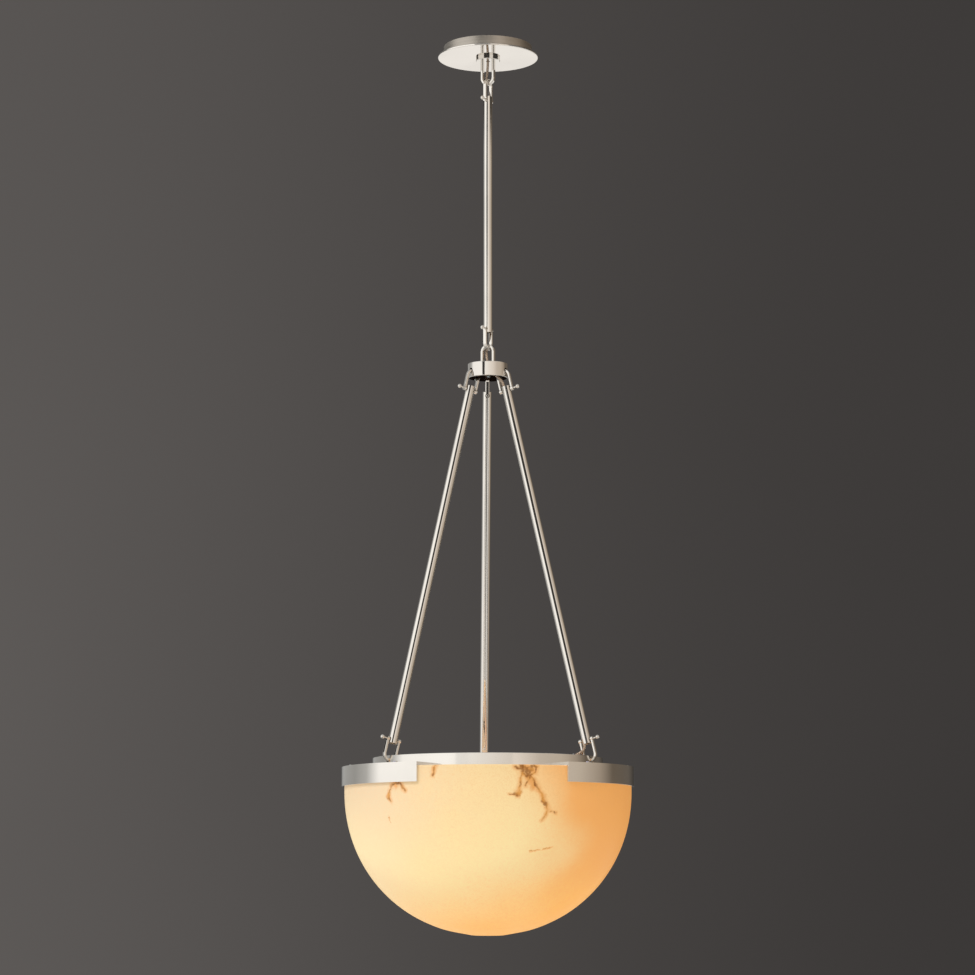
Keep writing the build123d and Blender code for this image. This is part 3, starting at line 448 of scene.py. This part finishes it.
    # painted glow: wisps of orange in the emission
    painted_glow_colour = tree.mix(tree.step(wisps, 0.48, 0.66, 0.0, 0.45), painted_glow_colour, rgb(0.5, 0.21, 0.035))
    cream = tree.math("MULTIPLY", tree.step(painted_bulb_glow, 0.42, 0.8), tree.math("SUBTRACT", 1.0, low))
    cream = tree.math("MULTIPLY", cream, tree.math("SUBTRACT", 1.0, warm_side))
    painted_glow_colour = tree.mix(tree.math("MULTIPLY", cream, 0.8), painted_glow_colour, rgb(0.58, 0.47, 0.22))
    # painted glow: the emission is stronger near the bulbs and a little weaker in the wisps
    strength = tree.math("ADD", 0.82, tree.math("MULTIPLY", tree.step(painted_bulb_glow, 0.2, 0.8), 0.24))
    strength = tree.math("MULTIPLY", strength, tree.step(wisps, 0.3, 0.7, 1.04, 0.94))

    body = tree.mix(tree.math("MULTIPLY", orange, 0.8), body, rgb(0.42, 0.22, 0.07))
    deep = tree.step(breaks, 0.4, 0.62)
    umber = tree.mix(deep, rgb(0.13, 0.05, 0.008), rgb(0.32, 0.16, 0.04))
    body = tree.mix(tree.math("MULTIPLY", rust, 0.95), body, umber)
    # the veins, stains and halos also tint and darken the painted glow in the emission
    painted_glow_colour = tree.mix(tree.math("MULTIPLY", orange, 0.9), painted_glow_colour, rgb(0.4, 0.125, 0.006))
    ember = tree.mix(deep, rgb(0.14, 0.04, 0.001), rgb(0.38, 0.14, 0.01))
    painted_glow_colour = tree.mix(tree.math("MULTIPLY", rust, 0.92), painted_glow_colour, ember)
    # painted reflection: for glossy rays the stone's painted emission turns a calm pale, so polished metal
    # mirrors that instead of the stone's amber
    mirrored = tree.add("ShaderNodeLightPath").outputs["Is Glossy Ray"]
    painted_glow_colour = tree.mix(tree.math("MULTIPLY", mirrored, 0.85), painted_glow_colour, rgb(0.42, 0.4, 0.37))
    painted_glow_emission = tree.tree.nodes.new("ShaderNodeVectorMath")
    painted_glow_emission.operation = "SCALE"
    tree.set(painted_glow_emission, "0", painted_glow_colour)
    tree.set(painted_glow_emission, "Scale", strength)
    tree.set(shader, "Base Color", body)
    tree.set(shader, "Emission Color", painted_glow_emission.outputs[0])
    shader.inputs["Emission Strength"].default_value = 1.0
    tree.set(shader, "Roughness", tree.step(grain, 0.3, 0.7, 0.38, 0.5))
    shader.inputs["Specular IOR Level"].default_value = 0.35
    tree.set(shader, "Normal", tree.add("ShaderNodeBump", Strength=0.05, Distance=0.0005, Height=grain))
    return made


def lit_glass():
    """Frosted bulbs, lit: brightest at the globe and dimmer by the neck."""
    made, tree, shader = material("lit_frosted_glass")
    place = tree.object_place()
    parts = tree.add("ShaderNodeSeparateXYZ", Vector=place)
    frost = tree.noise(place, 300.0, 2.0)
    height = tree.step(parts.outputs[2], -1.205, -1.25)
    tree.set(shader, "Base Color", tree.mix(frost, rgb(0.86, 0.82, 0.74), rgb(0.9, 0.87, 0.8)))
    tree.set(shader, "Emission Color", tree.mix(height, rgb(0.5, 0.3, 0.12), rgb(1.0, 0.8, 0.52)))
    shader.inputs["Emission Strength"].default_value = 0.9
    tree.set(shader, "Roughness", tree.step(frost, 0.3, 0.7, 0.3, 0.4))
    return made


# ---- each CAD node gets its finish ----
finishes = {
    polished: "ring bracket_left bracket_right bracket_back",
    bright: (
        "collar canopy_loop stem_top_shackle stem_top_pin stem stem_bottom_shackle stem_bottom_pin "
        "hub_loop hub_shell rod_head_shackles rod_head_pins rod_left rod_right rod_back "
        "rod_foot_shackle_left rod_foot_shackle_right rod_foot_shackle_back "
        "rod_foot_pin_left rod_foot_pin_right rod_foot_pin_back"
    ),
    mirror: "canopy_plate",
    satin_round: "canopy_drum",
    satin_flat: "lamp_spider",
    hub_base_painted_dark: "hub_base",
    zinc: "crossbar lock_nut hub_base_screws ring_screws rim_screws spider_screws lamp_nuts cable_clip",
    threads: "threaded_nipple lamp_nipples",
    brass: "rim_inserts bulb_caps",
    black_nylon: "hub_grommet terminal_block lamp_leads",
    clear_rubber: "rim_pads",
    porcelain: "lampholders",
    orange_plastic: "wire_connectors",
    insulation: "supply_cores",
    sheath: (
        "cable_in_canopy cable_at_canopy_loop cable_at_stem_top cable_in_stem cable_at_stem_bottom "
        "cable_at_hub_loop cable_in_hub cable_at_rod_top cable_in_rod cable_at_rod_foot cable_in_bowl"
    ),
    alabaster(): "alabaster_bowl",
    lit_glass(): "bulbs",
}
for finish, names in finishes.items():
    for name in names.split():
        piece = nodes[name]
        piece.data.materials.clear()
        piece.data.materials.append(finish)


# ---- the cable and the screws ----
def at(azimuth, radius, height, aside=0):
    """A place in metres, by azimuth in degrees, and radius, height and tangent in millimetres."""
    turn = math.radians(azimuth)
    out = Vector((math.cos(turn), math.sin(turn), 0))
    across = Vector((-math.sin(turn), math.cos(turn), 0))
    return (out * radius + across * aside + Vector((0, 0, height))) / 1000


def new_tree(name, sizes):
    """A geometry tree with a named input for each size, and its group input node."""
    group = bpy.data.node_groups.new(name, "GeometryNodeTree")
    group.interface.new_socket("Geometry", in_out="INPUT", socket_type="NodeSocketGeometry")
    for size in sizes:
        group.interface.new_socket(size, in_out="INPUT", socket_type="NodeSocketFloat")
    group.interface.new_socket("Finish", in_out="INPUT", socket_type="NodeSocketMaterial")
    group.interface.new_socket("Geometry", in_out="OUTPUT", socket_type="NodeSocketGeometry")
    tree = Tree(group)
    return tree, tree.add("NodeGroupInput").outputs


def end_tree(tree, shape, given):
    """Turns instances into one mesh and gives it its finish."""
    real = tree.add("GeometryNodeRealizeInstances", Geometry=shape)
    done = tree.add("GeometryNodeSetMaterial", Geometry=real, Material=given["Finish"])
    tree.set(tree.add("NodeGroupOutput"), "Geometry", done)
    return tree.tree


def grown(name, mesh, group, **values):
    """A piece that a geometry tree grows from a small mesh, as a plain mesh."""
    piece = bpy.data.objects.new(name, mesh)
    bpy.context.collection.objects.link(piece)
    modifier = piece.modifiers.new(name, "NODES")
    modifier.node_group = group
    for item in group.interface.items_tree:
        key = item.name.lower().replace(" ", "_")
        if item.in_out == "INPUT" and key in values:
            modifier[item.identifier] = values[key]
    seen = piece.evaluated_get(bpy.context.evaluated_depsgraph_get())
    shape = bpy.data.meshes.new_from_object(seen)
    piece.modifiers.clear()
    piece.data = shape
    return piece


def cable_tree():
    """A round cable along a line; it keeps how far along and how far round each point is."""
    tree, given = new_tree("cable", ("Radius",))
    line = tree.add("GeometryNodeMeshToCurve", Mesh=given["Geometry"])
    run = tree.add("GeometryNodeSplineParameter").outputs
    store, as_float = "GeometryNodeStoreNamedAttribute", {"data_type": "FLOAT"}
    line = tree.add(store, as_float, Geometry=line, Name="along", Value=run["Length"])
    rim = tree.add("GeometryNodeCurvePrimitiveCircle", Resolution=24, Radius=given["Radius"])
    rim = tree.add(store, as_float, Geometry=rim, Name="around", Value=run["Factor"])
    tube = tree.add("GeometryNodeCurveToMesh", Curve=line, Profile_Curve=rim, Fill_Caps=True)
    return end_tree(tree, tree.add("GeometryNodeSetShadeSmooth", Geometry=tube), given)


cable_group = cable_tree()
cable_radius = 0.002

# the links' own directions, and the cable's place beside the pins in the tubes
link_turn = math.radians(-29)
pin_turn = math.radians(61)
span = Vector((math.cos(link_turn), math.sin(link_turn), 0))
pin_way = Vector((math.cos(pin_turn), math.sin(pin_turn), 0))
beside_pin = -3.75
right_hook = at(-30, 28.3, -541.9)
right_foot = at(-30, 177.1, -1143.8)
rod_way = (right_foot - right_hook).normalized()
hook_distance = (right_foot - right_hook).length


def by_link(across, aside, height):
    """A place in metres near a link, by millimetres along its span, along its pin and up."""
    return (span * across + pin_way * aside + Vector((0, 0, height))) / 1000


def in_right_rod(distance):
    """A place of the cable in the right rod, by metres from its upper hook."""
    return right_hook + rod_way * distance + at(60, beside_pin, 0)


# The cable's route from the ceiling to the terminal block, in order.
route = {
    "ceiling": at(0, 0, 0),
    "collar": at(0, 0, -32.8),
    "loop": by_link(-6.4, 6.3, -51.7),
    "arch": by_link(-6.6, 6.1, -66.2),
    "stem_top": by_link(beside_pin, 0, -77.2),
    "stem_bottom": by_link(beside_pin, 0, -473.2),
    "lower_arch": by_link(-6.6, 6.1, -484.2),
    "hub_loop": by_link(-6.4, 6.3, -498.7),
    "hub_top": at(0, 0, -523.4),
    "hub_base": at(-30, 19.1, -540.4, -10.9),
    "rod_top": in_right_rod(0.0105),
    "rod_bottom": in_right_rod(hook_distance - 0.01),
    "over_ring": at(-30, 162, -1143.8, -10),
    "inside": at(-30, 146, -1151.1, -11),
    "sag": at(-30, 100, -1154.2, -13),
    "rise": at(-30, 55, -1152.6, -7),
    "block": at(-34, 30, -1151.6),
    "end": at(-34, 8, -1151.6),
}
stops = list(route)
corners = list(route.values())


def cable(node, first, first_share, last, last_share):
    """A stretch of the cable, from a share of the run after one stop to one after another."""
    low, high = stops.index(first), stops.index(last)
    begin = corners[low].lerp(corners[low + 1], first_share)
    after = min(high + 1, len(corners) - 1)
    finish_at = corners[high].lerp(corners[after], last_share)
    middle = corners[low + 1 : high + 1] if last_share else corners[low + 1 : high]
    if not middle:
        middle = [begin.lerp(finish_at, 0.5)]
    places = [begin, *middle, finish_at]
    line = bpy.data.curves.new(node, "CURVE")
    line.dimensions = "3D"
    line.resolution_u = 16
    spline = line.splines.new("NURBS")
    spline.points.add(len(places) - 1)
    for point, place in zip(spline.points, places):
        point.co = (*place, 1)
    spline.order_u = 3
    spline.use_endpoint_u = True
    holder = bpy.data.objects.new(node + "_line", line)
    bpy.context.collection.objects.link(holder)
    seen = holder.evaluated_get(bpy.context.evaluated_depsgraph_get())
    path = bpy.data.meshes.new_from_object(seen)
    bpy.data.objects.remove(holder)
    name = node.replace("cable_", "sheath_")
    piece = grown(name, path, cable_group, radius=cable_radius, finish=sheath)
    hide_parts(node)
    return piece


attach(cable("cable_in_canopy", "ceiling", 0, "collar", 0.5), "canopy")
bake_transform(cable("cable_at_canopy_loop", "collar", 0.5, "arch", 0.5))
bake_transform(cable("cable_at_stem_top", "arch", 0.5, "stem_top", 0.06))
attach(cable("cable_in_stem", "stem_top", 0.06, "stem_top", 0.94), "stem")
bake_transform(cable("cable_at_stem_bottom", "stem_top", 0.94, "stem_bottom", 0.5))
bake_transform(cable("cable_at_hub_loop", "stem_bottom", 0.5, "hub_loop", 0.5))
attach(cable("cable_in_hub", "hub_loop", 0.5, "hub_base", 0.5), "hub")
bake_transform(cable("cable_at_rod_top", "hub_base", 0.5, "rod_top", 0.05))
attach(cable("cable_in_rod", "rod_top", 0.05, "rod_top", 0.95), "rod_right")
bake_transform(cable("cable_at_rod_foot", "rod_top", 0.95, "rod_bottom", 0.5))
# the clip on the ring holds the cable, so from just above the ring it goes with the bowl
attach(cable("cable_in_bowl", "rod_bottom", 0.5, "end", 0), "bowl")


def screw_tree():
    """A round-headed screw with a hexagon socket at every seat, each aimed along its seat's arrow."""
    tree, given = new_tree("screws", ("Head Radius", "Head Height", "Shank Radius", "Length"))

    def rod(sides, radius, height, middle):
        shape = tree.add("GeometryNodeMeshCylinder", Vertices=sides, Radius=radius, Depth=height)
        move = tree.add("ShaderNodeCombineXYZ", Z=middle)
        return tree.add("GeometryNodeTransform", Geometry=shape, Translation=move)

    radius, height, length = given["Head Radius"], given["Head Height"], given["Length"]
    skirt = tree.math("MULTIPLY", height, 0.7)
    head = rod(28, radius, skirt, tree.math("MULTIPLY", height, -0.35))
    crown = rod(28, tree.math("MULTIPLY", radius, 0.86), height, tree.math("MULTIPLY", height, -0.5))
    shank = rod(20, given["Shank Radius"], length, tree.math("MULTIPLY", length, 0.5))
    hole = rod(6, tree.math("MULTIPLY", radius, 0.48), height, tree.math("MULTIPLY", height, -0.9))
    joined = tree.add("GeometryNodeJoinGeometry", Geometry=head)
    for more in (crown, shank):
        tree.set(joined, "Geometry", more)
    whole = tree.tree.nodes.new("GeometryNodeMeshBoolean")
    whole.operation = "UNION"
    tree.set(whole, "Mesh 2", joined)
    cut = tree.tree.nodes.new("GeometryNodeMeshBoolean")
    cut.operation = "DIFFERENCE"
    tree.set(cut, "Mesh 1", whole)
    tree.set(cut, "Mesh 2", hole)
    aim = tree.add("GeometryNodeInputNamedAttribute", {"data_type": "FLOAT_VECTOR"}, Name="aim")
    turn = tree.add("FunctionNodeAlignRotationToVector", {"axis": "Z"}, Vector=aim)
    every = tree.add("GeometryNodeInstanceOnPoints", Points=given["Geometry"], Instance=cut, Rotation=turn)
    return end_tree(tree, every, given)


screw_group = screw_tree()


def screws(node, body, seats, head_radius, head_height, shank_radius, length):
    """One mesh of alike screws, sizes in millimetres; a seat is a place and the way the screw points."""
    mesh = bpy.data.meshes.new(node)
    mesh.from_pydata([place for place, way in seats], [], [])
    aims = mesh.attributes.new("aim", "FLOAT_VECTOR", "POINT")
    for item, (place, way) in zip(aims.data, seats):
        item.vector = way
    piece = grown(
        "turned_" + node,
        mesh,
        screw_group,
        head_radius=head_radius / 1000,
        head_height=head_height / 1000,
        shank_radius=shank_radius / 1000,
        length=length / 1000,
        finish=zinc,
    )
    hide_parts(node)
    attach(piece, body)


def outward(azimuth):
    """One metre outwards, the way that a level screw points."""
    return at(azimuth, 1000, 0)


rod_azimuths = (-150, -30, 90)
fasteners = [rod + side * 18 for rod in rod_azimuths for side in (-1, 1)]
up = Vector((0, 0, 1))
down = -up
rim_seats = [(at(a, 218.2, -1160.4), down) for a in fasteners]
ring_seats = [(at(a, 176.3, -1162.8), outward(a)) for a in fasteners]
spider_seats = [(at(a, 173.2, -1151.6), outward(a)) for a in lamp_azimuths]
hub_seats = [(at(a, 21, -542.4), up) for a in (-90, 30, 150)]
screws("rim_screws", "bowl", rim_seats, 3.6, 2, 2, 18)
screws("ring_screws", "bowl", ring_seats, 2.7, 1.5, 1.5, 12)
screws("spider_screws", "bowl", spider_seats, 3.4, 2, 2, 5.5)
screws("hub_base_screws", "hub", hub_seats, 3, 1.6, 1.5, 10)

# ---- studio: floor, world, lamp and camera ----
floor_height = -2.6


def pale_floor():
    """A pale floor that fades out far from the object, and is open from below."""
    made, tree, shader = material("pale_floor")
    out = made.node_tree.nodes["Material Output"]
    place = tree.object_place()
    far = tree.vector("LENGTH", place)
    grain = tree.noise(place, 3.0, 4.0)
    tree.set(shader, "Base Color", tree.mix(grain, rgb(0.80, 0.785, 0.76), rgb(0.84, 0.825, 0.80)))
    shader.inputs["Roughness"].default_value = 0.8
    fade = tree.step(far, 2.6, 5.6)
    under = tree.add("ShaderNodeNewGeometry").outputs["Backfacing"]
    clear = tree.add("ShaderNodeBsdfTransparent")
    mixed = tree.add("ShaderNodeMixShader")
    tree.set(mixed, "0", tree.math("MAXIMUM", fade, under))
    tree.set(mixed, "1", shader)
    tree.set(mixed, "2", clear)
    tree.set(out, "Surface", mixed)
    return made


floor_mesh = bpy.data.meshes.new("floor")
reach = 6
corners_of_floor = [(-reach, -reach, 0), (reach, -reach, 0), (reach, reach, 0), (-reach, reach, 0)]
floor_mesh.from_pydata(corners_of_floor, [], [(0, 1, 2, 3)])
floor = bpy.data.objects.new("floor", floor_mesh)
bpy.context.collection.objects.link(floor)
floor.location = (0, 0, floor_height)
floor_mesh.materials.append(pale_floor())

# The light from each direction, by degrees from the front towards the right.
surround = [
    (-180, 0.10, 0.10, 0.10),
    (-160, 0.42, 0.42, 0.41),
    (-130, 0.36, 0.36, 0.35),
    (-112, 0.5, 0.5, 0.49),
    (-96, 1.15, 1.14, 1.12),
    (-42, 1.2, 1.19, 1.16),
    (-17, 1.12, 1.09, 1.04),
    (6, 1.0, 0.94, 0.87),
    (28, 0.9, 0.82, 0.74),
    (50, 0.66, 0.58, 0.5),
    (76, 0.6, 0.52, 0.43),
    (96, 0.42, 0.35, 0.28),
    (112, 0.16, 0.13, 0.1),
    (142, 0.14, 0.12, 0.1),
    (162, 0.05, 0.045, 0.04),
    (180, 0.10, 0.10, 0.10),
]


def studio_world():
    """A dark wall behind the lamp, and a pale room with dark strips for its polished metal to mirror."""
    world = bpy.data.worlds.new("studio")
    bpy.context.scene.world = world
    world.use_nodes = True
    tree = Tree(world.node_tree)
    back = world.node_tree.nodes["Background"]
    out = world.node_tree.nodes["World Output"]
    way = tree.add("ShaderNodeTexCoord").outputs["Generated"]
    parts = tree.add("ShaderNodeSeparateXYZ", Vector=way)
    angle = tree.math("ARCTAN2", parts.outputs[0], tree.math("MULTIPLY", parts.outputs[1], -1.0))
    share = tree.math("ADD", tree.math("DIVIDE", angle, 2 * math.pi), 0.5)
    ramp = tree.tree.nodes.new("ShaderNodeValToRGB")
    stops = ramp.color_ramp.elements
    while len(stops) < len(surround):
        stops.new(0.5)
    for stop, (degrees, red, green, blue) in zip(stops, surround):
        stop.position = degrees / 360 + 0.5
        stop.color = (red, green, blue, 1)
    tree.set(ramp, "Fac", share)
    height = parts.outputs[2]
    high = tree.step(height, 0.55, 0.85)
    low = tree.step(height, -0.2, -0.25)
    sky = tree.mix(high, ramp.outputs[0], rgb(0.5, 0.5, 0.5))
    sky = tree.mix(low, sky, rgb(0.94, 0.92, 0.89))
    # a dark standing strip, narrow at eye height and wide above, and a dark patch low in front
    middle = tree.step(height, 0.235, 0.305, math.radians(-27.5), math.radians(-6))
    half = tree.step(height, 0.165, 0.23, math.radians(6.5), math.radians(17))
    half = tree.math("ADD", half, tree.step(height, 0.26, 0.32, 0.0, math.radians(6)))
    gap = tree.math("DIVIDE", tree.math("ABSOLUTE", tree.math("SUBTRACT", angle, middle)), half)
    strip = tree.math("MULTIPLY", tree.step(gap, 1.15, 0.8), tree.step(height, 0.07, 0.156, 0.15, 1.0))
    strip = tree.math("MULTIPLY", strip, tree.step(height, 0.62, 0.5))
    patch = tree.step(tree.math("ABSOLUTE", angle), math.radians(15), math.radians(11))
    patch = tree.math("MULTIPLY", patch, tree.step(height, -0.22, -0.26))
    patch = tree.math("MULTIPLY", patch, tree.step(height, -0.56, -0.48))
    # dark zones at both sides for the loops and the hub, and low ones for the collar under its plate
    right = tree.step(tree.math("ABSOLUTE", tree.math("SUBTRACT", angle, 1.38)), 0.62, 0.5)
    left = tree.step(tree.math("ABSOLUTE", tree.math("ADD", angle, 2.5)), 0.62, 0.5)
    sides = tree.math("MULTIPLY", tree.math("MAXIMUM", right, left), tree.step(height, 0.24, 0.258))
    sides = tree.math("MULTIPLY", sides, tree.step(height, 0.305, 0.285))
    near_left = tree.step(tree.math("ABSOLUTE", tree.math("ADD", angle, 0.35)), 0.42, 0.36)
    far_left = tree.step(tree.math("ABSOLUTE", tree.math("ADD", angle, 2.3)), 0.36, 0.3)
    below = tree.math("MAXIMUM", tree.math("MAXIMUM", near_left, far_left), right)
    below = tree.math("MULTIPLY", below, tree.step(height, -0.235, -0.25))
    below = tree.math("MULTIPLY", below, tree.step(height, -0.31, -0.29))
    dark = tree.math("MAXIMUM", tree.math("MAXIMUM", strip, patch), tree.math("MAXIMUM", sides, below))
    # a faint level band in front, for the ring
    band = tree.step(tree.math("ABSOLUTE", angle), 0.41, 0.37, 0.0, 0.13)
    band = tree.math("MULTIPLY", band, tree.step(height, 0.075, 0.06))
    dark = tree.math("MAXIMUM", dark, tree.math("MULTIPLY", band, tree.step(height, -0.1, -0.05)))
    dark = tree.math("MULTIPLY", dark, 0.97)
    tree.set(back, "Color", tree.mix(dark, sky, rgb(0.02, 0.018, 0.016)))
    seen = tree.add("ShaderNodeBackground")
    wall = tree.noise(tree.vector("MULTIPLY", way, (1, 1, 1.5)), 1.3, 3.0)
    # painted shade: the wall seen behind the lamp is paler on the left and darker on the right
    across = tree.step(parts.outputs[0], -0.22, 0.2)
    wall_tone = tree.mix(across, rgb(0.13, 0.12, 0.114), rgb(0.034, 0.031, 0.03))
    patchy = tree.step(wall, 0.3, 0.7, 0.0, 0.4)
    tree.set(seen, "Color", tree.mix(patchy, wall_tone, rgb(0.07, 0.064, 0.061)))
    ray = tree.add("ShaderNodeLightPath").outputs["Is Camera Ray"]
    mixed = tree.add("ShaderNodeMixShader")
    tree.set(mixed, "0", ray)
    tree.set(mixed, "1", back)
    tree.set(mixed, "2", seen)
    tree.set(out, "Surface", mixed)


studio_world()

soft_lamp = bpy.data.lights.new("soft_lamp", "AREA")
soft_lamp.shape = "DISK"
soft_lamp.size = 2.2
soft_lamp.energy = 130
soft_lamp.color = (1.0, 0.98, 0.95)
lamp = bpy.data.objects.new("soft_lamp", soft_lamp)
bpy.context.collection.objects.link(lamp)
lamp.location = (-2.4, -2.6, 1.9)
lamp_aim = Vector((0, 0, -0.9))
lamp.rotation_euler = (lamp_aim - lamp.location).to_track_quat("-Z", "Y").to_euler()
lamp.visible_glossy = False

camera_data = bpy.data.cameras.new("camera")
camera_data.sensor_width = 36
camera_data.lens = 115.57
camera_data.shift_x = -0.0005
camera_data.clip_end = 100
camera = bpy.data.objects.new("camera", camera_data)
bpy.context.collection.objects.link(camera)
camera.location = (-0.17142, -4.90861, -1.3979)
camera.rotation_euler = (math.radians(97.885), 0, math.radians(-2))
bpy.context.scene.camera = camera
bpy.context.scene.view_settings.view_transform = "Standard"
